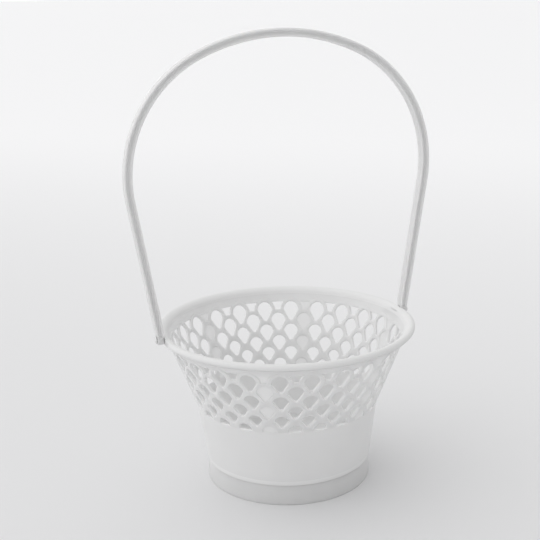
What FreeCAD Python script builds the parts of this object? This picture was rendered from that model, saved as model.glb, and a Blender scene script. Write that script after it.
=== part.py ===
"""Flower girl basket: a moulded openwork bowl on a foot, with a horseshoe handle that swings on two pegs.

Millimetres. +Z is up, the origin is the middle of the foot's resting face, and the pegs lie along X.
The bowl with its pegs is one moulding and the handle is another. The bowl is split into nodes where its
shape changes: foot, floor, plain wall, six openwork panels, plain band, rim, and a block and a peg each side.
"""
import FreeCAD, Part
import math
import os

V = FreeCAD.Vector
ORIGIN = V(0, 0, 0)
X_AXIS = V(1, 0, 0)
Y_AXIS = V(0, 1, 0)
UP = V(0, 0, 1)

# Bowl
RIM_RADIUS = 80.0              # outer edge of the rim
RIM_HEIGHT = 99.6              # top of the rim above the table
WALL = 1.5                     # thickness of the walls

# Foot and floor
FOOT_BASE_RADIUS = 51.6        # outside of the foot where it rests
FOOT_NECK_RADIUS = 50.4        # outside of the foot under the floor
FLOOR_HEIGHT = 14.2            # top of the floor
FLOOR_THICKNESS = 1.5
FLOOR_RADIUS = 51.9            # the floor's edge stands proud of the foot
FLOOR_ROUND = 0.5              # rounding under that edge

# Plain lower wall
KNEE_HEIGHT = 49.5             # where the wall turns outwards and the openwork starts
KNEE_RADIUS = 56.7

# Rim
RIM_OVERHANG = 4.3             # from the outside of the wall, where it meets the rim, to the rim's edge
RIM_PLATE = 1.5                # thickness of the flat top of the rim
RIM_CURL = 5.0                 # radius of the bend from the inside of the wall to the rim's top
RIM_CURL_REACH = 0.7           # how far down the wall its underside reaches, as a share of its radius
RIM_LIP_WALL = 1.5             # thickness of the turned-down edge
RIM_LIP_DEPTH = 2.6            # height of the turned-down edge
RIM_ROUND = 0.9                # rounding of its top corner

# Openwork
PANELS = 6                     # panels between the blind columns of cells
CELLS_PER_PANEL = 4
ROWS = 6                       # the last row is cut off by the plain wall
CELL_ROOF = 9.1                # from the top of the rim down to the first row of openings
LAST_ROW_SHARE = 0.65          # share of a row's pitch that the cut-off row keeps
CELL_HALF_ANGLE = 4.05         # degrees round the basket, from a cell's middle to its widest point
FIRST_CROWN_SHARE = 0.79       # from an opening's crown to its widest point, as a share of the row pitch
LAST_CROWN_SHARE = 0.53        # the same in the last rows
FIRST_LENGTH_SHARE = 1.77      # from an opening's crown to its tip, as a share of the row pitch
LAST_LENGTH_SHARE = 1.20       # the same in the last rows
TIP_HALF_WIDTH = 1.3
CELL_RIB = 2.4                 # rib between a crown and the opening above it
MEMBRANE = 0.9                 # thickness left in a blind cell

# Handle
HANDLE_HEIGHT = 275.0          # middle of the handle's section at its highest point
CROWN_RADIUS = 116.8           # top of the arch, along the middle of the section
CROWN_HALF_ANGLE = 25.0        # degrees of that arc each side
SHOULDER_RADIUS = 77.2         # sides of the arch
HANDLE_WIDTH = 5.0             # section, measured in the plane of the arch
HANDLE_DEPTH = 5.0             # section, front to back
HANDLE_ROUND = 0.6             # corners of the section
GROOVE_LAND = 0.25             # flat strip between each corner and the groove beside it
GROOVE_DEPTH = 1.1             # hollow along the front and the back of the handle

# Pivots
PIVOT_DROP = 1.7               # pivot axis below the top of the rim
PEG_RADIUS = 1.5
PEG_FIT = 0.06                 # radial clearance of the peg in the handle's eye
PEG_HEAD_RADIUS = 2.3
PEG_HEAD_THICKNESS = 0.8
PEG_HEAD_ROUND = 0.5
EYE_RADIUS = 3.2               # round end of each leg
EYE_THICKNESS = 3.8
SIDE_GAP = 0.35                # between the eye and the rim, and between the eye and the peg's head
RIM_FLAT_DEPTH = 2.2           # how far the rim is flattened beside each eye
BOSS_HALF_WIDTH = 10.6         # block under the rim that carries the peg
BOSS_DEPTH = 5.0               # its height below the rim's plate
BOSS_SLOPE = 1.5               # how much its underside rises outwards

# Worked out from the sizes above
PLATE_UNDERSIDE = RIM_HEIGHT - RIM_PLATE
BAND_TOP = PLATE_UNDERSIDE - RIM_CURL_REACH * (RIM_CURL - WALL)
LIP_BOTTOM = RIM_HEIGHT - RIM_LIP_DEPTH
FLOOR_UNDERSIDE = FLOOR_HEIGHT - FLOOR_THICKNESS
LATTICE_TOP = RIM_HEIGHT - CELL_ROOF
PANEL_TOP = LATTICE_TOP + CELL_RIB
CELL_ANGLE = 360.0 / (PANELS * CELLS_PER_PANEL)
PANEL_ANGLE = 360.0 / PANELS
FLARE_TOP_RADIUS = RIM_RADIUS - RIM_OVERHANG
ROW_PITCH = (LATTICE_TOP - KNEE_HEIGHT) / (ROWS - 1 + LAST_ROW_SHARE)
LOWER_SLOPE = (KNEE_RADIUS - FLOOR_RADIUS) / (KNEE_HEIGHT - FLOOR_HEIGHT)
FLARE_SLOPE = (FLARE_TOP_RADIUS - KNEE_RADIUS) / (PLATE_UNDERSIDE - KNEE_HEIGHT)
FLARE_STRETCH = math.hypot(1.0, FLARE_SLOPE)
FLAT_X = RIM_RADIUS - RIM_FLAT_DEPTH
EYE_INNER_X = FLAT_X + SIDE_GAP
EYE_OUTER_X = EYE_INNER_X + EYE_THICKNESS
PEG_HEAD_X = EYE_OUTER_X + SIDE_GAP
PIVOT = V(EYE_OUTER_X - HANDLE_WIDTH / 2, 0, RIM_HEIGHT - PIVOT_DROP)


def lower_radius(z):
    """Outside radius of the plain lower wall at height z."""
    return FLOOR_RADIUS + LOWER_SLOPE * (z - FLOOR_HEIGHT)


def flare_radius(z):
    """Outside radius of the flared wall at height z."""
    return KNEE_RADIUS + FLARE_SLOPE * (z - KNEE_HEIGHT)


def foot_radius(z):
    """Outside radius of the foot at height z."""
    return FOOT_BASE_RADIUS + (FOOT_NECK_RADIUS - FOOT_BASE_RADIUS) * z / FLOOR_UNDERSIDE


def turned(outline, angle=360.0):
    """Solid of revolution about Z, from points given as radius and height."""
    points = [V(radius, 0, z) for radius, z in outline]
    return Part.Face(Part.makePolygon(points + points[:1])).revolve(ORIGIN, UP, angle)


def shell(radius_at, bottom, top, angle=360.0):
    """Conical wall between two heights, from its outside radius."""
    return turned([
        (radius_at(bottom) - WALL, bottom),
        (radius_at(bottom), bottom),
        (radius_at(top), top),
        (radius_at(top) - WALL, top),
    ], angle)


def circle_edges(shape, radius, z):
    """The circular edges of a turned shape that lie at one radius and height."""
    return [
        edge for edge in shape.Edges
        if abs(edge.BoundBox.XMax - radius) < 1e-3 and abs(edge.BoundBox.ZMin - z) < 1e-3
        and abs(edge.BoundBox.ZMax - z) < 1e-3
    ]


def x_cylinder(radius, start, end):
    """Cylinder on the pivot axis between two X positions."""
    return Part.makeCylinder(radius, end - start, V(start, 0, PIVOT.z), X_AXIS)


# Foot, floor, plain wall and plain band

def foot():
    return shell(foot_radius, 0.0, FLOOR_UNDERSIDE)


def floor():
    disc = Part.makeCylinder(FLOOR_RADIUS, FLOOR_THICKNESS, V(0, 0, FLOOR_UNDERSIDE))
    return disc.makeFillet(FLOOR_ROUND, circle_edges(disc, FLOOR_RADIUS, FLOOR_UNDERSIDE))


def lower_wall():
    return shell(lower_radius, FLOOR_HEIGHT, KNEE_HEIGHT)


def upper_band():
    return shell(flare_radius, PANEL_TOP, BAND_TOP)


# Openwork

class Cell:
    """Sizes of one cell of a panel that starts at angle 0; cells on the panel's edges are blind.

    In the cell's own plane x runs round the basket, y up the wall and z out of it.
    """

    def __init__(self, row, angle):
        down = min(row / (ROWS - 2), 1.0)
        self.crown = ROW_PITCH * (FIRST_CROWN_SHARE + down * (LAST_CROWN_SHARE - FIRST_CROWN_SHARE))
        self.length = ROW_PITCH * (FIRST_LENGTH_SHARE + down * (LAST_LENGTH_SHARE - FIRST_LENGTH_SHARE))
        self.height = LATTICE_TOP - row * ROW_PITCH - self.crown / FLARE_STRETCH
        self.radius = flare_radius(self.height)
        self.half_width = self.radius * math.tan(math.radians(CELL_HALF_ANGLE))
        self.angle = angle
        on_edge = min(angle, PANEL_ANGLE - angle) < CELL_ANGLE / 4
        self.depth = WALL - MEMBRANE if on_edge else 2 * WALL


def crown_arc(half_width, crown):
    """Upper half of an ellipse, from its right end over the top to its left end."""
    right = V(half_width, 0, 0)
    top = V(0, crown, 0)
    ellipse = Part.Ellipse(top, -right, ORIGIN) if crown > half_width else Part.Ellipse(right, top, ORIGIN)
    return Part.Arc(ellipse, ellipse.parameter(right), ellipse.parameter(-right)).toShape()


def closed_face(crown, points):
    """Face under a crown arc, closed by straight lines through the points from its left end."""
    lower = [Part.makeLine(a, b) for a, b in zip(points[:-1], points[1:])]
    return Part.Face(Part.Wire([crown] + lower))


def opening_face(cell):
    """Whole cell: a round crown, straight flanks that close in, and a blunt tip."""
    tip = cell.crown - cell.length
    return closed_face(crown_arc(cell.half_width, cell.crown), [
        V(-cell.half_width, 0, 0),
        V(-TIP_HALF_WIDTH, tip + TIP_HALF_WIDTH / 2, 0),
        V(-TIP_HALF_WIDTH / 2, tip, 0),
        V(TIP_HALF_WIDTH / 2, tip, 0),
        V(TIP_HALF_WIDTH, tip + TIP_HALF_WIDTH / 2, 0),
        V(cell.half_width, 0, 0),
    ])


def arch_face(half_width, crown, drop):
    """Crown with straight sides that go down by drop."""
    return closed_face(crown_arc(half_width, crown), [
        V(-half_width, 0, 0),
        V(-half_width, -drop, 0),
        V(half_width, -drop, 0),
        V(half_width, 0, 0),
    ])


def cut_off_face(cell):
    """Cell of the last row: its crown, and straight sides that run out below the panel."""
    drop = abs(cell.height - KNEE_HEIGHT) * FLARE_STRETCH + 2 * WALL
    return arch_face(cell.half_width, cell.crown, drop)


def spandrel_face(cell):
    """Triangle between two crowns of the first row, above a crown of the second row."""
    below = Cell(1, cell.angle)
    half_pitch = cell.radius * math.tan(math.radians(CELL_ANGLE / 2))
    half_width = cell.half_width + CELL_RIB
    crown = cell.crown + CELL_RIB
    bottom = (below.height - cell.height) * FLARE_STRETCH + below.crown + CELL_RIB
    face = Part.makePlane(2 * half_pitch, cell.crown - bottom, V(-half_pitch, bottom, 0))
    for side in (-1, 1):
        arch = arch_face(half_width, crown, cell.length)
        arch.translate(V(side * half_pitch, 0, 0))
        face = face.cut(arch)
    return face


def cutter(cell, face):
    """Prism of a face, stood on the wall, that reaches the cell's depth below the wall's outside."""
    proud = 2 * WALL
    prism = face.extrude(V(0, 0, proud + cell.depth))
    prism.translate(V(0, 0, -cell.depth))
    up_wall = V(FLARE_SLOPE, 0, 1)
    out_of_wall = V(1, 0, -FLARE_SLOPE)
    stand = FreeCAD.Placement(V(cell.radius, 0, cell.height), FreeCAD.Rotation(Y_AXIS, up_wall, out_of_wall, "ZYX"))
    turn = FreeCAD.Placement(ORIGIN, FreeCAD.Rotation(UP, cell.angle))
    return prism.transformed(turn.multiply(stand).toMatrix())


def row_cutters(row):
    staggered = row % 2 == 0
    first = CELL_ANGLE / 2 if staggered else 0.0
    count = CELLS_PER_PANEL if staggered else CELLS_PER_PANEL + 1
    outline = cut_off_face if row == ROWS - 1 else opening_face
    cells = [Cell(row, first + column * CELL_ANGLE) for column in range(count)]
    return [cutter(cell, outline(cell)) for cell in cells]


def spandrel_cutters():
    cells = [Cell(0, column * CELL_ANGLE) for column in range(CELLS_PER_PANEL + 1)]
    return [cutter(cell, spandrel_face(cell)) for cell in cells]


def openwork_panel():
    """One panel from angle 0 to the next blind column."""
    cutters = spandrel_cutters()
    for row in range(ROWS):
        cutters += row_cutters(row)
    return shell(flare_radius, KNEE_HEIGHT, PANEL_TOP, PANEL_ANGLE).cut(cutters)


# Rim, blocks and pegs

def rim():
    """Rim that curls out from the wall to a turned-down lip, flattened beside each eye."""
    corner = flare_radius(RIM_HEIGHT) - WALL
    lip_inner = RIM_RADIUS - RIM_LIP_WALL
    ring = turned([
        (corner, RIM_HEIGHT),
        (flare_radius(BAND_TOP) - WALL, BAND_TOP),
        (flare_radius(BAND_TOP), BAND_TOP),
        (flare_radius(PLATE_UNDERSIDE), PLATE_UNDERSIDE),
        (lip_inner, PLATE_UNDERSIDE),
        (lip_inner, LIP_BOTTOM),
        (RIM_RADIUS, LIP_BOTTOM),
        (RIM_RADIUS, RIM_HEIGHT),
    ])
    ring = ring.makeFillet(RIM_CURL, circle_edges(ring, corner, RIM_HEIGHT))
    ring = ring.makeFillet(RIM_CURL - WALL, circle_edges(ring, flare_radius(PLATE_UNDERSIDE), PLATE_UNDERSIDE))
    ring = ring.makeFillet(RIM_ROUND, circle_edges(ring, RIM_RADIUS, RIM_HEIGHT))
    keep = Part.makeBox(2 * FLAT_X, 4 * RIM_RADIUS, 2 * RIM_HEIGHT, V(-FLAT_X, -2 * RIM_RADIUS, 0))
    return ring.common(keep)


def boss(rim_ring):
    """Block between the wall and the flat of the rim, under the rim's plate."""
    inside = KNEE_RADIUS
    bottom = PLATE_UNDERSIDE - BOSS_DEPTH
    outline = [
        V(inside, -BOSS_HALF_WIDTH, bottom),
        V(flare_radius(bottom), -BOSS_HALF_WIDTH, bottom),
        V(FLAT_X, -BOSS_HALF_WIDTH, bottom + BOSS_SLOPE),
        V(FLAT_X, -BOSS_HALF_WIDTH, PLATE_UNDERSIDE),
        V(inside, -BOSS_HALF_WIDTH, PLATE_UNDERSIDE),
    ]
    block = Part.Face(Part.makePolygon(outline + outline[:1])).extrude(V(0, 2 * BOSS_HALF_WIDTH, 0))
    filled_bowl = turned([
        (0, KNEE_HEIGHT),
        (flare_radius(KNEE_HEIGHT), KNEE_HEIGHT),
        (flare_radius(PLATE_UNDERSIDE), PLATE_UNDERSIDE),
        (0, PLATE_UNDERSIDE),
    ])
    return block.cut([filled_bowl, rim_ring])


def peg():
    head_end = PEG_HEAD_X + PEG_HEAD_THICKNESS
    head = x_cylinder(PEG_HEAD_RADIUS, PEG_HEAD_X, head_end)
    outer_edge = [edge for edge in head.Edges if edge.BoundBox.XMin > head_end - 1e-3]
    return x_cylinder(PEG_RADIUS, FLAT_X, PEG_HEAD_X).fuse(head.makeFillet(PEG_HEAD_ROUND, outer_edge))


# Handle

def section_half():
    """Lower half of the handle's section, from left to right: corner, groove, corner."""
    side = HANDLE_WIDTH / 2
    face = -HANDLE_DEPTH / 2
    corner = HANDLE_ROUND
    arc_middle = HANDLE_ROUND * (1 - math.sqrt(0.5))
    groove = side - corner - GROOVE_LAND
    return [
        Part.makeLine(V(-side, 0, 0), V(-side, face + corner, 0)),
        Part.Arc(V(-side, face + corner, 0), V(-side + arc_middle, face + arc_middle, 0),
                 V(-side + corner, face, 0)).toShape(),
        Part.makeLine(V(-side + corner, face, 0), V(-groove, face, 0)),
        Part.Arc(V(-groove, face, 0), V(0, face + GROOVE_DEPTH, 0), V(groove, face, 0)).toShape(),
        Part.makeLine(V(groove, face, 0), V(side - corner, face, 0)),
        Part.Arc(V(side - corner, face, 0), V(side - arc_middle, face + arc_middle, 0),
                 V(side, face + corner, 0)).toShape(),
        Part.makeLine(V(side, face + corner, 0), V(side, 0, 0)),
    ]


def section():
    """Section of an upright leg, with x across the arch and y front to back."""
    front = section_half()
    back = [edge.rotated(ORIGIN, UP, 180) for edge in front]
    return Part.Face(Part.Wire(front + back))


def arc_piece(centre, radius, start, end):
    """Stretch of the arch round a centre, between two angles from the vertical."""
    face = section().translated(centre + V(radius, 0, 0))
    return face.rotated(centre, Y_AXIS, start - 90).revolve(centre, Y_AXIS, end - start)


def leg_lean(shoulder):
    """Angle from the vertical of the line through the pivot that touches the shoulder's arc.

    The angle is negative when the leg leans inwards on its way down from the shoulder.
    """
    offset = PIVOT - shoulder
    reach = math.hypot(offset.x, offset.z)
    return math.degrees(-math.acos(SHOULDER_RADIUS / reach) - math.atan2(offset.z, offset.x))


def handle_half():
    """The half of the handle on +X."""
    crown_centre = V(0, 0, HANDLE_HEIGHT - CROWN_RADIUS)
    turn = math.radians(CROWN_HALF_ANGLE)
    shoulder = crown_centre + V(math.sin(turn), 0, math.cos(turn)) * (CROWN_RADIUS - SHOULDER_RADIUS)
    lean = leg_lean(shoulder)
    along = V(math.sin(math.radians(lean)), 0, math.cos(math.radians(lean)))
    touch = shoulder + V(along.z, 0, -along.x) * SHOULDER_RADIUS
    leg = section().translated(PIVOT).rotated(PIVOT, Y_AXIS, lean).extrude(along * (touch - PIVOT).Length)
    half = leg.fuse([
        arc_piece(shoulder, SHOULDER_RADIUS, CROWN_HALF_ANGLE, 90 + lean),
        arc_piece(crown_centre, CROWN_RADIUS, 0, CROWN_HALF_ANGLE),
        x_cylinder(EYE_RADIUS, EYE_INNER_X, EYE_OUTER_X),
    ])
    return half.cut(eye_cuts())


def eye_cuts():
    """Room for the rim inside the leg, the bore for the peg, and a seat for the peg's head."""
    clear_of_rim = Part.makeBox(HANDLE_WIDTH, 2 * HANDLE_DEPTH, 6 * HANDLE_WIDTH,
                                V(EYE_INNER_X - HANDLE_WIDTH, -HANDLE_DEPTH, PIVOT.z - 3 * HANDLE_WIDTH))
    bore = x_cylinder(PEG_RADIUS + PEG_FIT, EYE_INNER_X - SIDE_GAP, EYE_OUTER_X + HANDLE_WIDTH)
    head_seat = x_cylinder(EYE_RADIUS, EYE_OUTER_X, EYE_OUTER_X + HANDLE_WIDTH)
    return [clear_of_rim, bore, head_seat]


def handle():
    right = handle_half()
    left = right.mirror(ORIGIN, X_AXIS)
    return right.fuse(left).removeSplitter()


# Assembly

def build():
    """All nodes by name."""
    nodes = {
        "foot_ring": foot(),
        "floor": floor(),
        "lower_wall": lower_wall(),
        "upper_band": upper_band(),
        "rim": rim(),
        "handle": handle(),
    }
    panel = openwork_panel()
    for number in range(PANELS):
        nodes[f"openwork_panel_{number + 1}"] = panel.rotated(ORIGIN, UP, number * PANEL_ANGLE)
    right_boss = boss(nodes["rim"])
    nodes["peg_block_right"] = right_boss
    nodes["peg_block_left"] = right_boss.rotated(ORIGIN, UP, 180)
    nodes["pivot_peg_right"] = peg()
    nodes["pivot_peg_left"] = peg().rotated(ORIGIN, UP, 180)
    return nodes


def main():
    os.makedirs("parts", exist_ok=True)
    for name, shape in build().items():
        solids = shape.Solids
        print(name, len(solids), "solids", round(shape.Volume, 1), shape.isValid())
        kept = solids[0] if len(solids) == 1 else Part.makeCompound(solids)
        kept.exportStep(f"parts/{name}.step")


main()
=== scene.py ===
"""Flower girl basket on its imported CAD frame: openwork bowl, foot, rim, peg blocks and swinging handle."""
import math

import bmesh
import bpy
import numpy as np
from bpy.props import FloatProperty, FloatVectorProperty, IntProperty, PointerProperty
from mathutils import Matrix, Vector
from mathutils.geometry import delaunay_2d_cdt


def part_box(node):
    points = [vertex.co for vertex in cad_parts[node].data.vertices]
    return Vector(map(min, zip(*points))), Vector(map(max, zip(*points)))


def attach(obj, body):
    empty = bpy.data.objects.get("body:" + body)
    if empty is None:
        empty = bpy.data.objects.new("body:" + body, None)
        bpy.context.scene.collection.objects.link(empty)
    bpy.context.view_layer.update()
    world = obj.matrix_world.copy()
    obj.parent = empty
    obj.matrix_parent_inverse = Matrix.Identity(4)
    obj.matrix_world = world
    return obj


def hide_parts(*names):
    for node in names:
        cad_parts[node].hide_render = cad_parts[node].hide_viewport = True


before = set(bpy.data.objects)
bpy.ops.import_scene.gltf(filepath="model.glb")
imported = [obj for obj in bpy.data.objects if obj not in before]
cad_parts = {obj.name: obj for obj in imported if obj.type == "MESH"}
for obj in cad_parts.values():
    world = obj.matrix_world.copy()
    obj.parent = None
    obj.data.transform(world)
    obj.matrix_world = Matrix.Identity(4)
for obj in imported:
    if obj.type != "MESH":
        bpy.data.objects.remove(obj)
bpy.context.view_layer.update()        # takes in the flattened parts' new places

bl_info = {
    "name": "Openwork basket",
    "version": (1, 0, 0),
    "blender": (4, 5, 0),
    "location": "3D View > Sidebar > Basket",
    "description": "Builds a moulded openwork basket with a swinging handle",
    "category": "Add Mesh",
}

MM = 0.001
SMOOTH_ANGLE = math.radians(42.0)      # edges sharper than this stay crisp
MERGE_DISTANCE = 0.01 * MM
SAME_ANGLE = 1e-6                      # radians by which angles that should match may differ
ROUND_OFF = 1e-9                       # radians lost when angles are worked out
NOISE_SPAN = (0.3, 0.7)                # where most of a noise's values lie

# Sizes that the CAD nodes' boxes give
FOOT_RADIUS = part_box("foot_ring")[1].x
FLOOR_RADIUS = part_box("floor")[1].x
FLOOR_UNDERSIDE, FLOOR_TOP = (corner.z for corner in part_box("floor"))
KNEE_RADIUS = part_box("lower_wall")[1].x
KNEE_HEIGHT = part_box("lower_wall")[1].z
PANEL_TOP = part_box("openwork_panel_1")[1].z
BAND_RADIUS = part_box("upper_band")[1].x
BAND_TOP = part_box("upper_band")[1].z
RIM_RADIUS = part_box("rim")[1].y
RIM_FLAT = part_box("rim")[1].x
LIP_BOTTOM, RIM_TOP = (corner.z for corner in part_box("rim"))
BLOCK_LOW, BLOCK_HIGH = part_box("peg_block_right")
PEG_LOW, PEG_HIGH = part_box("pivot_peg_right")
HANDLE_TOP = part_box("handle")[1].z
HANDLE_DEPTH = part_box("handle")[1].y * 2
PIVOT_HEIGHT = (PEG_LOW.z + PEG_HIGH.z) / 2

# Slopes of the wall: radius gained for each metre of height
LOWER_SLOPE = (KNEE_RADIUS - FLOOR_RADIUS) / (KNEE_HEIGHT - FLOOR_TOP)
FLARE_SLOPE = (BAND_RADIUS - KNEE_RADIUS) / (BAND_TOP - KNEE_HEIGHT)
FLARE_STRETCH = math.hypot(1.0, FLARE_SLOPE)

FLOOR_FILLET = 1.5 * MM
WALL_FOOT = FLOOR_TOP + FLOOR_FILLET   # where the wall's panels meet the floor's fillet
LATHE_STEPS = 144                      # as many as the panels' columns of corners


def linear(hex_colour):
    """sRGB hex colour as a linear RGB tuple."""
    channels = [int(hex_colour[i:i + 2], 16) / 255 for i in (1, 3, 5)]
    return tuple(c / 12.92 if c <= 0.04045 else ((c + 0.055) / 1.055) ** 2.4 for c in channels)


def length(name, description, millimetres):
    """Length property with its default in millimetres."""
    return FloatProperty(name=name, description=description, default=millimetres * MM,
                         min=0.0, unit="LENGTH", precision=5)


class BowlSizes(bpy.types.PropertyGroup):
    """Sizes of the bowl that the CAD boxes don't give."""
    wall: length("Wall", "Thickness of the plain wall", 1.5)
    foot_taper: length("Foot taper", "How much narrower the foot is under the floor", 1.2)
    lip_wall: length("Lip wall", "Thickness of the rim's turned-down edge", 1.5)
    rim_curl: length("Rim curl", "Radius of the bend from the inside of the wall to the rim's top", 5.0)
    block_slope: length("Block slope", "How much a peg block's underside rises outwards", 1.5)


class OpenworkSizes(bpy.types.PropertyGroup):
    """Sizes of the openwork."""
    panels: IntProperty(name="Panels", description="Panels between blind columns of cells", default=6, min=3)
    cells: IntProperty(name="Cells", description="Cells across one panel", default=4, min=2)
    rows: IntProperty(name="Rows", description="Rows of cells; the last one is cut off", default=6, min=3)
    last_row: FloatProperty(name="Last row", description="Share of the pitch that the last row keeps",
                            default=0.65, min=0.2, max=1.0, subtype="FACTOR")
    rib: length("Rib", "Width of the rib over a crown", 2.4)
    half_angle: FloatProperty(name="Cell half angle", description="From a cell's middle to its widest point",
                              default=math.radians(4.05), subtype="ANGLE")
    first_crown: FloatProperty(name="First crown", description="First row's crown, as a share of the pitch",
                               default=0.79, subtype="FACTOR", max=2.0)
    last_crown: FloatProperty(name="Last crown", description="Last rows' crown, as a share of the pitch",
                              default=0.53, subtype="FACTOR", max=2.0)
    first_length: FloatProperty(name="First length", description="First row's length, as a share of the pitch",
                                default=1.77, subtype="FACTOR", max=3.0)
    last_length: FloatProperty(name="Last length", description="Last rows' length, as a share of the pitch",
                               default=1.20, subtype="FACTOR", max=3.0)
    tip: length("Tip", "Half width of an opening's blunt tip", 1.3)
    membrane: length("Membrane", "Thickness left in a blind cell", 0.9)
    proud: length("Rib height", "How far the ribs stand proud of the wall's faces", 0.25)
    rounding: length("Rib rounding", "Radius along the edges of the ribs", 0.4)


class HandleSizes(bpy.types.PropertyGroup):
    """Sizes of the handle."""
    width: length("Width", "Section across the arch", 5.0)
    crown_radius: length("Crown radius", "Top of the arch, along the middle of the section", 116.8)
    crown_half_angle: FloatProperty(name="Crown half angle", description="Half of the crown's arc",
                                    default=math.radians(25.0), subtype="ANGLE")
    shoulder_radius: length("Shoulder radius", "Sides of the arch", 77.2)
    rounding: length("Corner rounding", "Radius of the section's corners", 0.6)
    land: length("Land", "Flat strip between a corner and the groove", 0.25)
    groove: length("Groove", "Depth of the hollow along the front and back", 1.1)
    eye_radius: length("Eye radius", "Round end of each leg", 3.2)
    eye_thickness: length("Eye thickness", "Thickness of the round end", 3.8)
    bore: length("Bore", "Radius of the hole for the peg", 1.56)
    side_gap: length("Side gap", "Between the eye and the rim", 0.35)


class Finish(bpy.types.PropertyGroup):
    """Colours of the plastic and of the studio."""
    bowl: FloatVectorProperty(name="Bowl", description="Colour of the bowl's plastic", subtype="COLOR",
                              default=linear("#DDDDDD"))
    handle: FloatVectorProperty(name="Handle", description="Colour of the handle's plastic", subtype="COLOR",
                                default=linear("#DBDBDB"))
    paper: FloatVectorProperty(name="Paper", description="Colour of the studio floor", subtype="COLOR",
                               default=linear("#FDFDFE"))


# Nodes, materials and objects

def add(tree, kind, inputs=None, **settings):
    """Adds a node with its settings; an input is a number, a colour or another node's output."""
    node = tree.nodes.new(kind)
    for name, value in settings.items():
        setattr(node, name, value)
    for key, value in (inputs or {}).items():
        if isinstance(value, bpy.types.NodeSocket):
            tree.links.new(value, node.inputs[key])
        else:
            node.inputs[key].default_value = value
    return node


def maths(tree, operation, *values):
    """Result of a math node on one to three values."""
    return add(tree, "ShaderNodeMath", dict(enumerate(values)), operation=operation).outputs[0]


def scaled(tree, colour, factor):
    """Colour made lighter or darker by a factor."""
    return add(tree, "ShaderNodeVectorMath", {0: colour, "Scale": factor}, operation="SCALE").outputs["Vector"]


def leaning(tree, place, direction):
    """How far a place lies along a direction."""
    dot = add(tree, "ShaderNodeVectorMath", {0: place, 1: direction}, operation="DOT_PRODUCT")
    return dot.outputs["Value"]


def mapped(tree, value, start, end, **settings):
    """Value carried over from one span to another."""
    return add(tree, "ShaderNodeMapRange", {
        "Value": value, "From Min": start[0], "From Max": start[1], "To Min": end[0], "To Max": end[1],
    }, **settings).outputs["Result"]


def noise(tree, place, size, detail):
    """Noise with features of about a size in metres."""
    return add(tree, "ShaderNodeTexNoise", {
        "Vector": place, "Scale": 1 / size, "Detail": detail}).outputs["Fac"]


def emptied(owner):
    """Node tree of a material or a world, with nothing in it."""
    owner.use_nodes = True
    owner.node_tree.nodes.clear()
    return owner.node_tree


def polypropylene(name, colour, grain):
    """White polypropylene, injection moulded in a fine spark-eroded die.

    Satin, slightly waxy and a little see-through at thin edges, with a shallow orange-peel where the wall
    cooled unevenly. The die's grain is about 0.05 mm and is drawn ten times coarser so that it shows.
    """
    material = bpy.data.materials.new(name)
    tree = emptied(material)
    place = add(tree, "ShaderNodeTexCoord").outputs["Object"]
    flow = noise(tree, place, 28 * MM, 2.0)
    peel = noise(tree, place, 5 * MM, 2.0)
    fine = noise(tree, place, grain, 3.0)
    waves = add(tree, "ShaderNodeBump", {"Height": peel, "Strength": 0.25, "Distance": 0.04 * MM})
    rough = add(tree, "ShaderNodeBump", {
        "Height": fine, "Strength": 0.3, "Distance": 0.015 * MM, "Normal": waves.outputs["Normal"],
    })
    surface = add(tree, "ShaderNodeBsdfPrincipled", {
        "Base Color": scaled(tree, tuple(colour), mapped(tree, flow, NOISE_SPAN, (0.975, 1.0))),
        "Roughness": mapped(tree, fine, NOISE_SPAN, (0.36, 0.46)),
        "IOR": 1.49,
        "Subsurface Weight": 0.9,
        "Subsurface Radius": (1.0, 1.0, 1.0),
        "Subsurface Scale": 3.5 * MM,
        "Normal": rough.outputs["Normal"],
    })
    add(tree, "ShaderNodeOutputMaterial", {"Surface": surface.outputs["BSDF"]})
    return material


def plastic(part, grain):
    """The polypropylene of a part, made when it is first asked for."""
    name = f"Injection-moulded polypropylene, {part}"
    colour = getattr(bpy.context.scene.basket_finish, part)
    return bpy.data.materials.get(name) or polypropylene(name, colour, grain)


def bowl_plastic():
    return plastic("bowl", 0.5 * MM)


def handle_plastic():
    return plastic("handle", 0.6 * MM)


def studio_paper():
    """Matt seamless background paper with a soft tooth, and painted light: its white is scaled darker near the
    front left and paler towards the far right, where the studio light falls stronger.
    """
    material = bpy.data.materials.new("Matt seamless paper")
    tree = emptied(material)
    place = add(tree, "ShaderNodeTexCoord").outputs["Object"]
    tooth = noise(tree, place, 1.2 * MM, 2.0)
    back = leaning(tree, place, (0.64, 0.84, 0.0))
    # painted light: the paper's colour is scaled from 0.78 near the front left up to 1.0 towards the back
    # right, standing in for the falloff of the studio light and a lighter shadow on the right
    painted_falloff = mapped(tree, back, (-0.3, 1.6), (0.78, 1.0), interpolation_type="SMOOTHSTEP")
    colour = tuple(bpy.context.scene.basket_finish.paper)
    relief = add(tree, "ShaderNodeBump", {"Height": tooth, "Strength": 0.2, "Distance": 0.05 * MM})
    surface = add(tree, "ShaderNodeBsdfPrincipled", {
        "Base Color": scaled(tree, colour, painted_falloff),
        "Roughness": 0.8,
        "Specular IOR Level": 0.2,
        "Normal": relief.outputs["Normal"],
    })
    add(tree, "ShaderNodeOutputMaterial", {"Surface": surface.outputs["BSDF"]})
    return material


def studio_air():
    """Soft light from all round, strongest from the back left and weakest from the front right."""
    world = bpy.data.worlds.new("Studio air")
    tree = emptied(world)
    direction = add(tree, "ShaderNodeTexCoord").outputs["Generated"]
    lean = leaning(tree, direction, (-0.65, 0.6, -0.1))
    strength = mapped(tree, lean, (-1.0, 1.0), (0.54, 1.35))
    light = add(tree, "ShaderNodeBackground", {"Color": (1.0, 1.0, 1.0, 1.0), "Strength": strength})
    add(tree, "ShaderNodeOutputWorld", {"Surface": light.outputs["Background"]})
    return world


def new_object(name, mesh):
    piece = bpy.data.objects.new(name, mesh)
    bpy.context.collection.objects.link(piece)
    return piece


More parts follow.
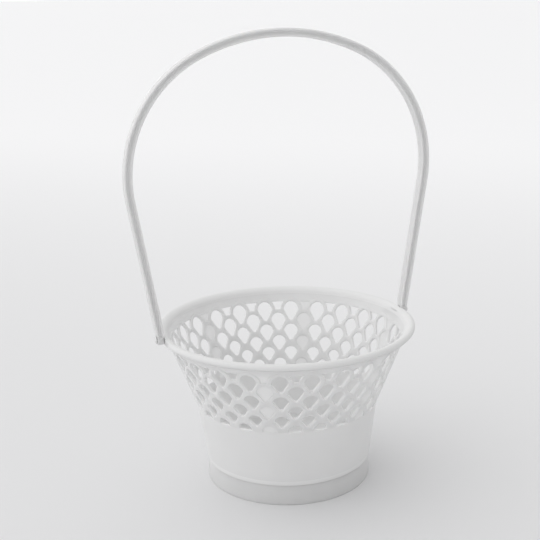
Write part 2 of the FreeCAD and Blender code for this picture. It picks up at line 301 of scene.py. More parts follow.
def mesh_from(name, corners, faces):
    mesh = bpy.data.meshes.new(name)
    mesh.from_pydata(corners, [], faces)
    mesh.validate()
    return mesh


def finished(piece, material=None):
    """Turns a piece's evaluated shape into its plain mesh, smooth except at sharp edges."""
    evaluated = piece.evaluated_get(bpy.context.evaluated_depsgraph_get())
    mesh = bpy.data.meshes.new_from_object(evaluated)
    piece.modifiers.clear()
    piece.data = mesh
    if material:
        mesh.materials.clear()
        mesh.materials.append(material)
    mesh.shade_smooth()
    mesh.set_sharp_from_angle(angle=SMOOTH_ANGLE)
    return piece


def closed_up(mesh):
    """Merges doubled corners and points every face outwards."""
    work = bmesh.new()
    work.from_mesh(mesh)
    bmesh.ops.remove_doubles(work, verts=work.verts, dist=MERGE_DISTANCE)
    bmesh.ops.recalc_face_normals(work, faces=work.faces)
    work.to_mesh(mesh)
    work.free()


def join(piece, part):
    """Moves a part's faces into a piece and welds the two where they meet."""
    work = bmesh.new()
    work.from_mesh(piece.data)
    work.from_mesh(part.data)
    work.to_mesh(piece.data)
    work.free()
    closed_up(piece.data)
    bpy.data.objects.remove(part)


def node_group(name, sockets):
    """Geometry node tree with a geometry input and output, and the named inputs given with their kinds."""
    tree = bpy.data.node_groups.new(name, "GeometryNodeTree")
    tree.interface.new_socket("Geometry", in_out="INPUT", socket_type="NodeSocketGeometry")
    tree.interface.new_socket("Geometry", in_out="OUTPUT", socket_type="NodeSocketGeometry")
    for socket, kind in sockets.items():
        tree.interface.new_socket(socket, in_out="INPUT", socket_type=kind)
    return tree


def grow(piece, tree, values):
    """Runs a node tree on a piece with the named input values, and keeps the result as its mesh."""
    modifier = piece.modifiers.new(tree.name, "NODES")
    modifier.node_group = tree
    for item in tree.interface.items_tree:
        if item.in_out == "INPUT" and item.name in values:
            modifier[item.identifier] = values[item.name]
    return finished(piece)


def arc(centre, radius, start, end, steps):
    """Points of an arc, with its angles in degrees."""
    turns = [math.radians(start + (end - start) * i / steps) for i in range(steps + 1)]
    return [(centre[0] + radius * math.cos(t), centre[1] + radius * math.sin(t)) for t in turns]


def lathe(name, outline, along=(0, 0, 1), middle=(0, 0, 0), loop=True):
    """Shape turned about an axis, from points given as radius and place along it.

    An outline that starts and ends on the axis is closed there; any other is closed as a loop, or left open.
    """
    axis = Vector(along)
    side = Vector((0, 1, 0)) if axis.x else Vector((1, 0, 0))
    across = axis.cross(side)
    corners, rings = [], []
    for radius, place in outline:
        count = 1 if radius == 0 else LATHE_STEPS
        rings.append([len(corners) + i for i in range(count)])
        for i in range(count):
            turn = 2 * math.pi * i / LATHE_STEPS
            spoke = side * math.cos(turn) + across * math.sin(turn)
            corners.append(Vector(middle) + axis * place + spoke * radius)
    faces = []
    for near, far in zip(rings, rings[1:] + rings[:1] if loop else rings[1:]):
        for i in range(LATHE_STEPS):
            j = (i + 1) % LATHE_STEPS
            ring = [near[i % len(near)], near[j % len(near)], far[j % len(far)], far[i % len(far)]]
            ring = list(dict.fromkeys(ring))
            if len(ring) > 2:
                faces.append(ring)
    mesh = mesh_from(name, corners, faces)
    closed_up(mesh)
    return mesh


# Openwork

def flare_radius(height):
    """Radius of the outside of the flared wall."""
    return KNEE_RADIUS + FLARE_SLOPE * (height - KNEE_HEIGHT)


def mid_radius(height):
    """Radius of the middle of the flared wall."""
    return flare_radius(height) - bpy.context.scene.basket_bowl.wall / 2


def mirrored(right_half):
    """Closed outline from its right half, which runs from the bottom's middle to the top's middle."""
    left_half = [(-x, y) for x, y in reversed(right_half[1:-1])]
    return np.array(right_half + left_half)


def moved_out(outline, distance):
    """Anticlockwise closed outline, moved outwards; sharp corners move no more than a little further."""
    sharpest = 0.8
    ahead = np.roll(outline, -1, axis=0) - outline
    normal = np.stack([ahead[:, 1], -ahead[:, 0]], axis=1)
    normal /= np.linalg.norm(normal, axis=1, keepdims=True)
    before = np.roll(normal, 1, axis=0)
    spread = np.maximum(1 + (normal * before).sum(axis=1, keepdims=True), sharpest)
    return outline + distance * (normal + before) / spread


def signed_gap(points, outline):
    """Distance from each point to a closed outline, negative inside it."""
    start = outline[None]
    along = np.roll(outline, -1, axis=0)[None] - start
    away = points[:, None] - start
    share = np.clip((away * along).sum(axis=2) / (along ** 2).sum(axis=2), 0, 1)
    gap = np.linalg.norm(away - share[..., None] * along, axis=2).min(axis=1)
    is_level = along[..., 1] == 0
    level = np.where(is_level, -1.0, away[..., 1] / np.where(is_level, 1.0, along[..., 1]))
    crosses = (level >= 0) & (level < 1) & (away[..., 0] < level * along[..., 0])
    inside = crosses.sum(axis=1) % 2 == 1
    return np.where(inside, -gap, gap)


def rounded(gap, radius):
    """How far a rounded edge lies below the face, at a distance from the edge."""
    near = np.clip(radius - gap, 0, radius)
    return radius - np.sqrt(radius ** 2 - near ** 2)


class Cell:
    """One cell of the openwork: the angle and height of its middle, and its outline round that.

    In the outline x runs round the basket and y up the slanted wall.
    """

    def __init__(self, angle, height, outline, blind):
        self.angle = angle
        self.height = height
        self.outline = outline
        self.blind = blind

    def on_wall(self, points):
        """Angle and height of points given round the cell's middle."""
        height = self.height + points[:, 1] / FLARE_STRETCH
        return np.stack([self.angle + points[:, 0] / mid_radius(height), height], axis=1)

    def gap(self, places):
        """Distance from places on the wall to the outline, negative inside it."""
        across = (places[:, 0] - self.angle) * mid_radius(places[:, 1])
        up = (places[:, 1] - self.height) * FLARE_STRETCH
        return signed_gap(np.stack([across, up], axis=1), self.outline)


class Pattern:
    """The cells of one panel, which starts and ends in the middle of a blind column."""

    CROWN_STEPS = 9
    FLANK_STEPS = 3

    def __init__(self, sizes):
        self.sizes = sizes
        self.width = 2 * math.pi / sizes.panels
        self.cell_width = self.width / sizes.cells
        self.top = PANEL_TOP - sizes.rib
        self.pitch = (self.top - KNEE_HEIGHT) / (sizes.rows - 1 + sizes.last_row)
        self.cells = []
        for row in range(sizes.rows):
            self.cells += [self.cell(row, angle) for angle in self.columns(row)]
        self.crowns = [self.rib_crown(angle) for angle in self.columns(0)]
        self.cells += [self.spandrel(angle) for angle in self.columns(1)]

    def columns(self, row):
        """Angles of a row's cells: even rows are whole, odd ones start and end in a blind cell."""
        if row % 2 == 0:
            return [(column + 0.5) * self.cell_width for column in range(self.sizes.cells)]
        return [column * self.cell_width for column in range(self.sizes.cells + 1)]

    def is_blind(self, angle):
        return min(angle, self.width - angle) < self.cell_width / 4

    def is_seam(self, start, end):
        """Whether an edge between two places is where a panel joins its neighbour, the rim or the base."""
        on_side = [abs(start[0] - side) + abs(end[0] - side) < SAME_ANGLE for side in (0.0, self.width)]
        at_top = min(start[1], end[1]) > BAND_TOP - MERGE_DISTANCE
        return any(on_side) or at_top or max(start[1], end[1]) < WALL_FOOT + MERGE_DISTANCE

    def measures(self, row):
        """Middle height, half width, crown and length of a row's cells."""
        down = min(row / (self.sizes.rows - 2), 1.0)
        sizes = self.sizes
        crown = self.pitch * (sizes.first_crown + down * (sizes.last_crown - sizes.first_crown))
        whole = self.pitch * (sizes.first_length + down * (sizes.last_length - sizes.first_length))
        height = self.top - row * self.pitch - crown / FLARE_STRETCH
        outside = mid_radius(height) + bpy.context.scene.basket_bowl.wall / 2
        return height, outside * math.tan(sizes.half_angle), crown, whole

    def quarter(self, half_width, crown, start=0.0):
        """Right half of a crown, from a turn in radians up to its top."""
        turns = [start + (math.pi / 2 - start) * i / self.CROWN_STEPS for i in range(self.CROWN_STEPS + 1)]
        points = [(half_width * math.cos(turn), crown * math.sin(turn)) for turn in turns]
        return points[:-1] + [(0.0, crown)]

    def cell(self, row, angle):
        height, half_width, crown, whole = self.measures(row)
        if row == self.sizes.rows - 1:
            bottom = (KNEE_HEIGHT - height) * FLARE_STRETCH
            right = [(0.0, bottom), (half_width / 2, bottom), (half_width, bottom)]
        else:
            tip = self.sizes.tip
            bottom = crown - whole
            shoulder = bottom + tip / 2
            right = [(0.0, bottom), (tip / 2, bottom)]
            for step in range(self.FLANK_STEPS):
                share = step / self.FLANK_STEPS
                right.append((tip + share * (half_width - tip), shoulder * (1 - share)))
        return Cell(angle, height, mirrored(right + self.quarter(half_width, crown)), self.is_blind(angle))

    def rib_crown(self, angle):
        """Arch of the rib over a crown of the first row, with straight sides."""
        height, half_width, crown, whole = self.measures(0)
        rib = self.sizes.rib
        outline = [(0.0, -whole), (half_width + rib, -whole)] + self.quarter(half_width + rib, crown + rib)
        return Cell(angle, height, mirrored(outline), False)

    def spandrel(self, angle):
        """Triangle between two crowns of the first row, above the rib of the second row."""
        height, half_width, crown, _ = self.measures(0)
        below, _, crown_below, _ = self.measures(1)
        rib = self.sizes.rib
        bottom = (below - height) * FLARE_STRETCH + crown_below + rib
        right = []
        for step in range(self.CROWN_STEPS + 1):
            up = bottom + (crown - bottom) * step / self.CROWN_STEPS
            reach = (half_width + rib) * math.sqrt(1 - (max(up, 0.0) / (crown + rib)) ** 2)
            right.append((mid_radius(height + up / FLARE_STRETCH) * self.cell_width / 2 - reach, up))
        outline = mirrored([(0.0, bottom)] + right + [(0.0, crown)])
        return Cell(angle, height, outline, self.is_blind(angle))

    def level(self, places):
        """Half thickness of the wall at places given as angle and height."""
        sizes = self.sizes
        plain_half = bpy.context.scene.basket_bowl.wall / 2 / FLARE_STRETCH
        rib_half = plain_half + sizes.proud
        edge_half = rib_half - sizes.rounding
        blind = np.min([cell.gap(places) for cell in self.cells if cell.blind], axis=0)
        edge = np.minimum(self.open_gap(places), np.abs(blind))
        under_crown = np.min([crown.gap(places) for crown in self.crowns], axis=0)
        above = places[:, 1] > self.top
        in_lattice = (places[:, 1] > KNEE_HEIGHT) & (~above | (under_crown < 0))
        border = np.minimum((places[:, 1] - KNEE_HEIGHT) * FLARE_STRETCH, np.where(above, -under_crown, np.inf))
        plain = plain_half - rounded(edge, plain_half - edge_half)
        rib = rib_half - rounded(np.minimum(edge, border), sizes.rounding)
        half = np.where(in_lattice, np.maximum(plain, rib), plain)
        sunk = edge_half + (sizes.membrane / 2 - edge_half) * np.clip(-blind / RING_STEPS[1], 0, 1)
        return np.where(blind < 0, sunk, half)

    def open_gap(self, places):
        """Distance to the nearest opening, negative inside one."""
        return np.min([cell.gap(places) for cell in self.cells if not cell.blind], axis=0)


# Distances of the loops that carry the rounding beside an edge
RING_STEPS = (0.0, 0.06 * MM, 0.18 * MM, 0.4 * MM)
COLUMNS_PER_CELL = 6                   # of the grid that carries the plain wall round
FLAT_RADIUS = 66 * MM                  # scale of an angle while a panel is triangulated


class Flat:
    """Points and lines of a panel laid flat, as angle and height."""

    def __init__(self, width):
        self.width = width
        self.points = []
        self.lines = []

    def line(self, places, closed):
        """Adds the stretch of a line that lies on the panel."""
        kept = [place for place in places if -ROUND_OFF <= place[0] <= self.width + ROUND_OFF]
        closed = closed and len(kept) == len(places)
        first = len(self.points)
        self.points += [tuple(place) for place in kept]
        self.lines += [(first + i, first + i + 1) for i in range(len(kept) - 1)]
        if closed:
            self.lines.append((first + len(kept) - 1, first))

    def triangles(self):
        """Triangles between the points, worked out in millimetres and given back as places and faces."""
        one_point = 1e-4
        flat = [Vector((angle * FLAT_RADIUS / MM, height / MM)) for angle, height in self.points]
        corners, _, faces, *_ = delaunay_2d_cdt(flat, self.lines, [], 0, one_point)
        places = np.array([(corner.x * MM / FLAT_RADIUS, corner.y * MM) for corner in corners])
        return places, np.array(faces)


def half_turned(outline, angle, width):
    """Outline reordered so that what lies on the panel is one stretch."""
    if angle < width / 4 or angle > width * 3 / 4:
        middle = len(outline) // 2
        return outline[:middle + 1] if angle < width / 4 else np.concatenate([outline[middle:], outline[:1]])
    return outline


def panel_layout(pattern):
    """Lines and points of one panel: loops round the cells, arcs over the crowns, levels and a grid."""
    flat = Flat(pattern.width)
    for cell in pattern.cells:
        distances = RING_STEPS + ((-RING_STEPS[1],) if cell.blind else ())
        for distance in distances:
            outline = moved_out(cell.outline, distance)
            at_edge = cell.angle < ROUND_OFF or cell.angle > pattern.width - ROUND_OFF
            if at_edge:
                outline = half_turned(outline, cell.angle, pattern.width)
            flat.line(cell.on_wall(outline), closed=not at_edge)
    for crown in pattern.crowns:
        for distance in RING_STEPS:
            places = crown.on_wall(moved_out(crown.outline, -distance))
            flat.line([place for place in places if place[1] > pattern.top], closed=False)
    columns = np.linspace(0, pattern.width, COLUMNS_PER_CELL * pattern.sizes.cells + 1)
    for distance in RING_STEPS:
        height = KNEE_HEIGHT + distance / FLARE_STRETCH
        flat.line([(angle, height) for angle in columns], closed=False)
    for height in plain_heights(pattern):
        grid = np.array([(angle, height) for angle in columns])
        clear = grid_clearance(pattern, grid)
        flat.points += [tuple(place) for place, is_clear in zip(grid, clear) if is_clear]
    return flat


def plain_heights(pattern):
    """Heights of the grid: close together where the wall bends or ends, wider between."""
    near = [0.0, 0.6 * MM, 2.0 * MM]
    lower = np.linspace(WALL_FOOT + 6 * MM, KNEE_HEIGHT - 5 * MM, 5)
    band = np.linspace(pattern.top + 0.9 * MM, BAND_TOP - 2.2 * MM, 2)
    cells = np.arange(KNEE_HEIGHT + 3 * MM, pattern.top, 2.5 * MM)
    heights = [WALL_FOOT + step for step in near] + list(lower)
    heights += [KNEE_HEIGHT - step for step in (2.5 * MM, 1.2 * MM, 0.5 * MM)]
    return heights + list(cells) + list(band) + [BAND_TOP - step for step in near]


def grid_clearance(pattern, grid):
    """Which grid points lie far enough from every edge, and not over an opening."""
    least = 0.7 * MM
    blind = np.min([cell.gap(grid) for cell in pattern.cells if cell.blind], axis=0)
    crown = np.min([cell.gap(grid) for cell in pattern.crowns], axis=0)
    above = grid[:, 1] > pattern.top
    in_ribs = (grid[:, 1] > KNEE_HEIGHT) & np.where(above, crown < least, blind > -least)
    return (pattern.open_gap(grid) > least) & (np.abs(blind) > least) & ~in_ribs


def flat_panel(pattern):
    """Mesh of one panel laid flat: x is the angle, y the height and z the distance from the wall's middle."""
    places, faces = panel_layout(pattern).triangles()
    faces = faces[pattern.open_gap(places[faces].mean(axis=1)) > 0]
    used, faces = np.unique(faces, return_inverse=True)
    faces = faces.reshape(-1, 3)
    places = places[used]
    level = pattern.level(places)
    count = len(places)
    corners = np.concatenate([np.column_stack([places, level]), np.column_stack([places, -level])])
    outer = [tuple(int(i) for i in face) for face in faces]
    inner = [tuple(i + count for i in reversed(face)) for face in outer]
    edges = {}
    for a, b, c in outer:
        for edge in ((a, b), (b, c), (c, a)):
            edges[edge] = True
    sides = []
    for a, b in edges:
        if (b, a) not in edges and not pattern.is_seam(places[a], places[b]):
            sides.append((b, a, a + count, b + count))
    return mesh_from("openwork_flat", corners.tolist(), outer + inner + sides)


def wrap_tree():
    """Bends a flat panel round the bowl's wall and repeats it round the axis."""
    tree = node_group("Wrap and repeat panels", {
        "Knee Height": "NodeSocketFloat",
        "Knee Radius": "NodeSocketFloat",
        "Lower Slope": "NodeSocketFloat",
        "Flare Slope": "NodeSocketFloat",
        "Knee Rounding": "NodeSocketFloat",
        "Half Wall": "NodeSocketFloat",
        "Knee Reach": "NodeSocketFloat",
        "Panels": "NodeSocketInt",
        "Merge Distance": "NodeSocketFloat",
        "Material": "NodeSocketMaterial",
    })
    sizes = add(tree, "NodeGroupInput").outputs
    place = add(tree, "GeometryNodeInputPosition").outputs[0]
    angle, height, level = add(tree, "ShaderNodeSeparateXYZ", {0: place}).outputs
    over_knee = maths(tree, "SUBTRACT", height, sizes["Knee Height"])
    lower = maths(tree, "MULTIPLY", over_knee, sizes["Lower Slope"])
    flare = maths(tree, "MULTIPLY", over_knee, sizes["Flare Slope"])
    growth = maths(tree, "SMOOTH_MAX", lower, flare, sizes["Knee Rounding"])
    outside = maths(tree, "ADD", growth, sizes["Knee Radius"])
    middle = maths(tree, "SUBTRACT", outside, sizes["Half Wall"])
    before_knee = maths(tree, "SUBTRACT", 0.0, sizes["Knee Reach"])
    slope = mapped(tree, over_knee, (before_knee, sizes["Knee Reach"]),
                   (sizes["Lower Slope"], sizes["Flare Slope"]), interpolation_type="SMOOTHSTEP")
    turn = maths(tree, "ARCTANGENT", slope)
    radius = maths(tree, "MULTIPLY_ADD", level, maths(tree, "COSINE", turn), middle)
    drop = maths(tree, "MULTIPLY", level, maths(tree, "SINE", turn))
    x = maths(tree, "MULTIPLY", radius, maths(tree, "COSINE", angle))
    y = maths(tree, "MULTIPLY", radius, maths(tree, "SINE", angle))
    z = maths(tree, "SUBTRACT", height, drop)
    bent = add(tree, "ShaderNodeCombineXYZ", {0: x, 1: y, 2: z})
    panel = add(tree, "GeometryNodeSetPosition", {"Geometry": sizes["Geometry"], "Position": bent.outputs[0]})
    spots = add(tree, "GeometryNodePoints", {"Count": sizes["Panels"]})
    share = maths(tree, "DIVIDE", math.tau, sizes["Panels"])
    index = add(tree, "GeometryNodeInputIndex").outputs[0]
    spin = add(tree, "ShaderNodeCombineXYZ", {2: maths(tree, "MULTIPLY", index, share)})
    copies = add(tree, "GeometryNodeInstanceOnPoints", {
        "Points": spots.outputs[0], "Instance": panel.outputs[0], "Rotation": spin.outputs[0]})
    whole = add(tree, "GeometryNodeRealizeInstances", {0: copies.outputs[0]})
    joined = add(tree, "GeometryNodeMergeByDistance", {
        "Geometry": whole.outputs[0], "Distance": sizes["Merge Distance"]})
    painted = add(tree, "GeometryNodeSetMaterial", {
        "Geometry": joined.outputs[0], "Material": sizes["Material"]})
    add(tree, "NodeGroupOutput", {"Geometry": painted.outputs[0]})
    return tree


class BASKET_OT_bowl(bpy.types.Operator):
    """Floor, wall, openwork and rim of the bowl, welded into one skin"""
    bl_idname = "basket.bowl"
    bl_label = "Bowl"

    def execute(self, context):
        pattern = Pattern(context.scene.basket_openwork)
        wall = new_object("bowl_moulding", flat_panel(pattern))
        grow(wall, wrap_tree(), {
            "Knee Height": KNEE_HEIGHT,
            "Knee Radius": KNEE_RADIUS,
            "Lower Slope": LOWER_SLOPE,
            "Flare Slope": FLARE_SLOPE,
            "Knee Rounding": 0.4 * MM,
            "Half Wall": context.scene.basket_bowl.wall / 2,
            "Knee Reach": 1.5 * MM,
            "Panels": pattern.sizes.panels,
            "Merge Distance": MERGE_DISTANCE,
            "Material": bowl_plastic(),
        })
        sizes = context.scene.basket_bowl
        for outline in (rim_outline(sizes), base_outline(sizes)):
            join(wall, new_object("turned_part", lathe("turned_part", outline, loop=False)))
        for side in (-1, 1):
            cut_flat(wall.data, side)
        finished(wall)
        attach(wall, "bowl")
        panels = [f"openwork_panel_{number + 1}" for number in range(pattern.sizes.panels)]
        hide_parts("floor", "lower_wall", "upper_band", "rim", *panels)
        return {"FINISHED"}


# Foot, floor, rim and peg blocks

class BASKET_OT_foot(bpy.types.Operator):
    """Foot that widens slightly towards the ground"""
    bl_idname = "basket.foot"
    bl_label = "Foot"

    def execute(self, context):
        sizes = context.scene.basket_bowl
        edge = 0.3 * MM
        neck = FOOT_RADIUS - sizes.foot_taper
        outline = [(neck, FLOOR_UNDERSIDE), (neck - sizes.wall, FLOOR_UNDERSIDE)]
        outline += arc((FOOT_RADIUS - sizes.wall + edge, edge), edge, 180, 270, 3)
        outline += arc((FOOT_RADIUS - edge, edge), edge, 270, 360, 3)
        foot = finished(new_object("foot_moulding", lathe("foot_moulding", outline)), bowl_plastic())
        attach(foot, "bowl")
        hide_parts("foot_ring")
        return {"FINISHED"}


def cut_flat(mesh, side):
    """Cuts a mesh off square at a peg and closes the cut."""
    work = bmesh.new()
    work.from_mesh(mesh)
    everything = list(work.verts) + list(work.edges) + list(work.faces)
    cut = bmesh.ops.bisect_plane(work, geom=everything, plane_co=(side * RIM_FLAT, 0, 0),
                                 plane_no=(side, 0, 0), clear_outer=True)["geom_cut"]
    edges = [part for part in cut if isinstance(part, bmesh.types.BMEdge)]
    bmesh.ops.triangle_fill(work, edges=edges, use_beauty=True)
    bmesh.ops.recalc_face_normals(work, faces=work.faces)
    work.to_mesh(mesh)
    work.free()


def bend(inset, top, radius):
    """Arc from the flared wall, set in from its outside, to a level face at a height."""
    lean = math.atan(FLARE_SLOPE)
    reach = radius / math.tan((math.pi / 2 + lean) / 2)
    corner = flare_radius(top) - inset
    return arc((corner + reach, top - radius), radius, 180 - math.degrees(lean), 90, 10)


def wall_edge(middle, height, slope, wall):
    """Inner and outer corner of the panels' edge, square to the wall."""
    half = wall / 2 / FLARE_STRETCH
    lean = math.atan(slope)
    across, up = half * math.cos(lean), half * math.sin(lean)
    return (middle - across, height + up), (middle + across, height - up)


def base_outline(sizes):
    """Outline of the base from the wall's inside over the floor, and under it back to the outside."""
    ledge = 0.5 * MM
    middle = KNEE_RADIUS + LOWER_SLOPE * (WALL_FOOT - KNEE_HEIGHT) - sizes.wall / 2
    inside, outside = wall_edge(middle, WALL_FOOT, LOWER_SLOPE, sizes.wall)
    corner = FLOOR_RADIUS - LOWER_SLOPE * (FLOOR_TOP - FLOOR_UNDERSIDE)
    outline = [inside]
    outline += arc((inside[0] - FLOOR_FILLET, FLOOR_TOP + FLOOR_FILLET), FLOOR_FILLET, 0, -90, 6)
    outline += [(0, FLOOR_TOP), (0, FLOOR_UNDERSIDE)]
    outline += arc((corner - ledge, FLOOR_UNDERSIDE + ledge), ledge, 270, 360, 4)
    return outline + [outside]


def rim_outline(sizes):
    """Outline of the rim from the inside of the wall, over the curl and the bead, to the wall's outside."""
    edge = 0.3 * MM
    bead = (RIM_TOP - LIP_BOTTOM) / 2
    lip = RIM_RADIUS - sizes.lip_wall
    underside = RIM_TOP - sizes.wall
    inside, outside = wall_edge(mid_radius(BAND_TOP), BAND_TOP, FLARE_SLOPE, sizes.wall)
    outline = [inside]
    outline += bend(sizes.wall, RIM_TOP, sizes.rim_curl)
    outline += arc((RIM_RADIUS - bead, RIM_TOP - bead), bead, 90, -90, 14)
    outline += arc((lip + edge, LIP_BOTTOM + edge), edge, 270, 180, 3)
    outline += reversed(bend(0.0, underside, sizes.rim_curl - sizes.wall))
    return outline + [outside]


def block_mesh(side):
    """Block under the rim, from inside the wall out to the flat beside the eye."""
    sizes = bpy.context.scene.basket_bowl
    sunk = 0.9 * sizes.wall
    bottom = BLOCK_LOW.z
    top = RIM_TOP - sizes.wall
    outline = [
        (flare_radius(bottom) - sunk, bottom),
        (RIM_FLAT, bottom + sizes.block_slope),
        (RIM_FLAT, top),
        (flare_radius(top) - sunk, top),
    ]
    count = len(outline)
    corners = [(side * x, y, z) for y in (-BLOCK_HIGH.y, BLOCK_HIGH.y) for x, z in outline]
    faces = [list(range(count)), list(range(count, 2 * count))]
    faces += [[i, (i + 1) % count, (i + 1) % count + count, i + count] for i in range(count)]
    mesh = mesh_from("peg_block", corners, faces)
    closed_up(mesh)
    return mesh


class BASKET_OT_peg_blocks(bpy.types.Operator):
    """Blocks that carry the pegs, and the pegs' finish"""
    bl_idname = "basket.peg_blocks"
    bl_label = "Peg blocks and pegs"

    def execute(self, context):
        for name, side in (("left", -1), ("right", 1)):
            block = new_object(f"block_{name}", block_mesh(side))
            edges = block.modifiers.new("Edges", "BEVEL")
            edges.width = 0.35 * MM
            edges.segments = 3
            finished(block, bowl_plastic())
            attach(block, "bowl")
            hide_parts(f"peg_block_{name}")
            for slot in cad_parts[f"pivot_peg_{name}"].material_slots:
                slot.material = bowl_plastic()
        return {"FINISHED"}


# Handle

PRESSED_LENGTH = 12 * MM               # of each leg above its eye, where its inner side is pressed
RELIEF_LEFT = 0.03                     # share of the section's relief that stays where it is pressed


def handle_section(sizes):
    """Outline of the handle's section as a loop: x across the arch and y front to back."""
    side = sizes.width / 2
    face = HANDLE_DEPTH / 2
    corner = sizes.rounding
    hollow = side - corner - sizes.land
    hollow_radius = (hollow ** 2 + sizes.groove ** 2) / (2 * sizes.groove)
    half_turn = math.degrees(math.asin(hollow / hollow_radius))
    middle = (0.0, face - sizes.groove + hollow_radius)
    top = arc((side - corner, face - corner), corner, 0, 90, 4)
    top += arc(middle, hollow_radius, 270 + half_turn, 270 - half_turn, 10)
    top += arc((-side + corner, face - corner), corner, 90, 180, 4)
    return top + [(-x, -y) for x, y in top]


def handle_path(sizes, start_up):
    """Points along the middle of the section, from the left leg over the arch to the right leg."""
    finest = math.radians(1.25)
    crown = Vector((0.0, 0.0, HANDLE_TOP - sizes.width / 2 - sizes.crown_radius))
    turn = sizes.crown_half_angle
    towards = Vector((math.sin(turn), 0.0, math.cos(turn)))
    shoulder = crown + towards * (sizes.crown_radius - sizes.shoulder_radius)
    pivot = Vector((eye_outer(sizes) - sizes.width / 2, 0.0, PIVOT_HEIGHT))
    reach = pivot - shoulder
    lean = -math.acos(sizes.shoulder_radius / reach.length) - math.atan2(reach.z, reach.x)
    right = []
    for start, end, centre, radius in (
        (0.0, turn, crown, sizes.crown_radius),
        (turn, math.pi / 2 + lean, shoulder, sizes.shoulder_radius),
    ):
        count = math.ceil((end - start) / finest)
        for i in range(count):
            t = start + (end - start) * i / count
            right.append(centre + Vector((math.sin(t), 0.0, math.cos(t))) * radius)
    touch = shoulder + Vector((math.cos(lean), 0.0, -math.sin(lean))) * sizes.shoulder_radius
    leg = (touch - pivot).length
    stations = [leg * share for share in (1.0, 0.75, 0.5, 0.25)]
    stations += [start_up + i * MM for i in range(round(PRESSED_LENGTH / MM), -1, -1)]
    along = (touch - pivot).normalized()
    right += [pivot + along * place for place in stations]
    left = [Vector((-p.x, 0.0, p.z)) for p in reversed(right[1:])]
    return left + right


def eye_inner(sizes):
    return RIM_FLAT + sizes.side_gap


def eye_outer(sizes):
    return eye_inner(sizes) + sizes.eye_thickness


def sweep_tree():
    """Sweeps the section along the path, and presses the legs' sides nearly flat beside the rim and the peg."""
    tree = node_group("Sweep handle", {
        "Section": "NodeSocketObject",
        "Inner Face": "NodeSocketFloat",
        "Outer Face": "NodeSocketFloat",
        "Seat Top": "NodeSocketFloat",
        "Material": "NodeSocketMaterial",
    })
    sizes = add(tree, "NodeGroupInput").outputs
    section = add(tree, "GeometryNodeObjectInfo", {"Object": sizes["Section"]})
    profile = add(tree, "GeometryNodeMeshToCurve", {"Mesh": section.outputs["Geometry"]})
    path = add(tree, "GeometryNodeMeshToCurve", {"Mesh": sizes["Geometry"]})
    swept = add(tree, "GeometryNodeCurveToMesh", {
        "Curve": path.outputs[0], "Profile Curve": profile.outputs[0], "Fill Caps": True})
    place = add(tree, "GeometryNodeInputPosition").outputs[0]
    x, y, z = add(tree, "ShaderNodeSeparateXYZ", {0: place}).outputs
    out = maths(tree, "ABSOLUTE", x)
    in_leg = maths(tree, "MAXIMUM", out, sizes["Inner Face"])
    in_seat = maths(tree, "MINIMUM", in_leg, sizes["Outer Face"])
    low = maths(tree, "LESS_THAN", z, sizes["Seat Top"])
    flat = add(tree, "ShaderNodeMix", {"Factor": low, "A": in_leg, "B": in_seat}, data_type="FLOAT")
    pressed = add(tree, "ShaderNodeMix", {
        "Factor": RELIEF_LEFT, "A": flat.outputs[0], "B": out}, data_type="FLOAT")
    moved = maths(tree, "MULTIPLY", pressed.outputs[0], maths(tree, "SIGN", x))
    target = add(tree, "ShaderNodeCombineXYZ", {0: moved, 1: y, 2: z})
    leg_top = maths(tree, "ADD", sizes["Seat Top"], PRESSED_LENGTH)
    by_rim = add(tree, "FunctionNodeCompare", {0: z, 1: leg_top}, operation="LESS_THAN")
    shaped = add(tree, "GeometryNodeSetPosition", {
        "Geometry": swept.outputs[0], "Selection": by_rim.outputs[0], "Position": target.outputs[0]})
    whole = add(tree, "GeometryNodeRealizeInstances", {0: shaped.outputs[0]})
    painted = add(tree, "GeometryNodeSetMaterial", {
        "Geometry": whole.outputs[0], "Material": sizes["Material"]})
    add(tree, "NodeGroupOutput", {"Geometry": painted.outputs[0]})
    return tree


def chain(name, points, closed):
    """Mesh of edges through points."""
    mesh = bpy.data.meshes.new(name)
    edges = [(i, i + 1) for i in range(len(points) - 1)]
    if closed:
        edges.append((len(points) - 1, 0))
    mesh.from_pydata([tuple(point) for point in points], edges, [])
    return mesh


def eye_ring(sizes, side):
    """Round end of a leg, with the bore for its peg and softened outer edges."""
    edge = 0.4 * MM
    chamfer = 0.1 * MM
    low, high = eye_inner(sizes), eye_outer(sizes)
    outline = [(sizes.bore, low + chamfer), (sizes.bore + chamfer, low)]
    outline += arc((sizes.eye_radius - edge, low + edge), edge, 270, 360, 4)
    outline += arc((sizes.eye_radius - edge, high - edge), edge, 0, 90, 4)
    outline += [(sizes.bore + chamfer, high), (sizes.bore, high - chamfer)]
    return lathe("eye", outline, along=(side, 0, 0), middle=(0, 0, PIVOT_HEIGHT))


class BASKET_OT_handle(bpy.types.Operator):
    """Grooved handle with a round eye at the end of each leg"""
    bl_idname = "basket.handle"
    bl_label = "Handle"

    def execute(self, context):
        sizes = context.scene.basket_handle
        leg_end = 1.7 * MM
        section = new_object("handle_section", chain(
            "handle_section", [(y, x, 0) for x, y in handle_section(sizes)], closed=True))
        handle = new_object("handle_moulding", chain("handle_path", handle_path(sizes, leg_end), closed=False))
        grow(handle, sweep_tree(), {
            "Section": section,
            "Inner Face": eye_inner(sizes),
            "Outer Face": eye_outer(sizes),
            "Seat Top": PIVOT_HEIGHT + sizes.eye_radius,
            "Material": handle_plastic(),
        })
        bpy.data.objects.remove(section)
        closed_up(handle.data)
        for side in (-1, 1):
            eye = new_object("eye", eye_ring(sizes, side))
            joint = handle.modifiers.new("Eye", "BOOLEAN")
            joint.operation = "UNION"
            joint.solver = "EXACT"
            joint.object = eye
            finished(handle, handle_plastic())
            bpy.data.objects.remove(eye)
        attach(handle, "handle")
        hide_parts("handle")
        return {"FINISHED"}


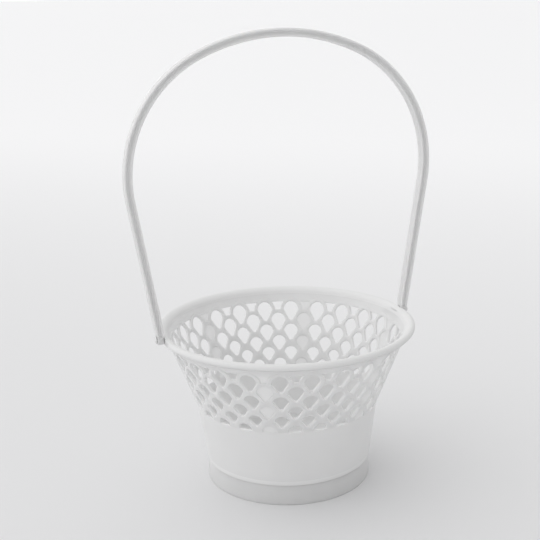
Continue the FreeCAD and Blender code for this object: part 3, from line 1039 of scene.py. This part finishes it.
# Studio

def area_light(name, place, target, size, power):
    lamp = bpy.data.lights.new(name, "AREA")
    lamp.shape = "DISK"
    lamp.size = size
    lamp.energy = power
    light = bpy.data.objects.new(name, lamp)
    bpy.context.collection.objects.link(light)
    light.location = place
    light.rotation_euler = (Vector(target) - Vector(place)).to_track_quat("-Z", "Y").to_euler()


def camera():
    """Camera in front, a little to the left and above the rim, aimed just above the rim."""
    around = math.radians(-19.32)
    above = math.radians(21.29)
    away = 652 * MM
    bowl_middle = Vector((0.0, 0.0, 60 * MM))
    towards = Vector((math.sin(around) * math.cos(above), -math.cos(around) * math.cos(above), math.sin(above)))
    place = bowl_middle + towards * away
    aim = Vector((-8.5 * MM, 2.8 * MM, 132.6 * MM))
    roll = Matrix.Rotation(math.radians(-1.38), 4, "Z")
    lens = bpy.data.cameras.new("Camera")
    lens.sensor_width = 36.0
    lens.lens = 68.2
    lens.clip_start = 0.01
    lens.clip_end = 1000.0
    view = bpy.data.objects.new("Camera", lens)
    bpy.context.collection.objects.link(view)
    facing = (aim - place).to_track_quat("-Z", "Y").to_matrix().to_4x4()
    view.matrix_world = Matrix.Translation(place) @ facing @ roll
    bpy.context.scene.camera = view


class BASKET_OT_stage(bpy.types.Operator):
    """Pale seamless floor, soft light and the camera"""
    bl_idname = "basket.stage"
    bl_label = "Studio"

    def execute(self, context):
        scene = context.scene
        far = 300.0
        corners = [(-far, -far, 0), (far, -far, 0), (far, far, 0), (-far, far, 0)]
        floor = new_object("studio_floor", mesh_from("studio_floor", corners, [(0, 1, 2, 3)]))
        floor.data.materials.append(studio_paper())
        scene.world = studio_air()
        area_light("Key", place=(-0.9, -0.2, 1.1), target=(0.0, 0.0, 0.08), size=1.1, power=1.0)
        camera()
        scene.view_settings.view_transform = "Standard"
        return {"FINISHED"}


OPERATORS = (
    BASKET_OT_bowl,
    BASKET_OT_foot,
    BASKET_OT_peg_blocks,
    BASKET_OT_handle,
    BASKET_OT_stage,
)


class BASKET_PT_panel(bpy.types.Panel):
    """Operators that build the basket"""
    bl_idname = "BASKET_PT_panel"
    bl_label = "Openwork basket"
    bl_space_type = "VIEW_3D"
    bl_region_type = "UI"
    bl_category = "Basket"

    def draw(self, context):
        for operator in OPERATORS:
            self.layout.operator(operator.bl_idname)
        for group in GROUPS:
            settings = getattr(context.scene, group)
            for name in settings.bl_rna.properties.keys():
                if name not in ("rna_type", "name"):
                    self.layout.prop(settings, name)


GROUPS = {
    "basket_bowl": BowlSizes,
    "basket_openwork": OpenworkSizes,
    "basket_handle": HandleSizes,
    "basket_finish": Finish,
}
CLASSES = (*GROUPS.values(), *OPERATORS, BASKET_PT_panel)


def register():
    for cls in CLASSES:
        bpy.utils.register_class(cls)
    for name, cls in GROUPS.items():
        setattr(bpy.types.Scene, name, PointerProperty(type=cls))


def unregister():
    for name in GROUPS:
        delattr(bpy.types.Scene, name)
    for cls in reversed(CLASSES):
        bpy.utils.unregister_class(cls)


def main():
    register()
    bpy.ops.basket.bowl()
    bpy.ops.basket.foot()
    bpy.ops.basket.peg_blocks()
    bpy.ops.basket.handle()
    bpy.ops.basket.stage()


if __name__ == "__main__":
    main()
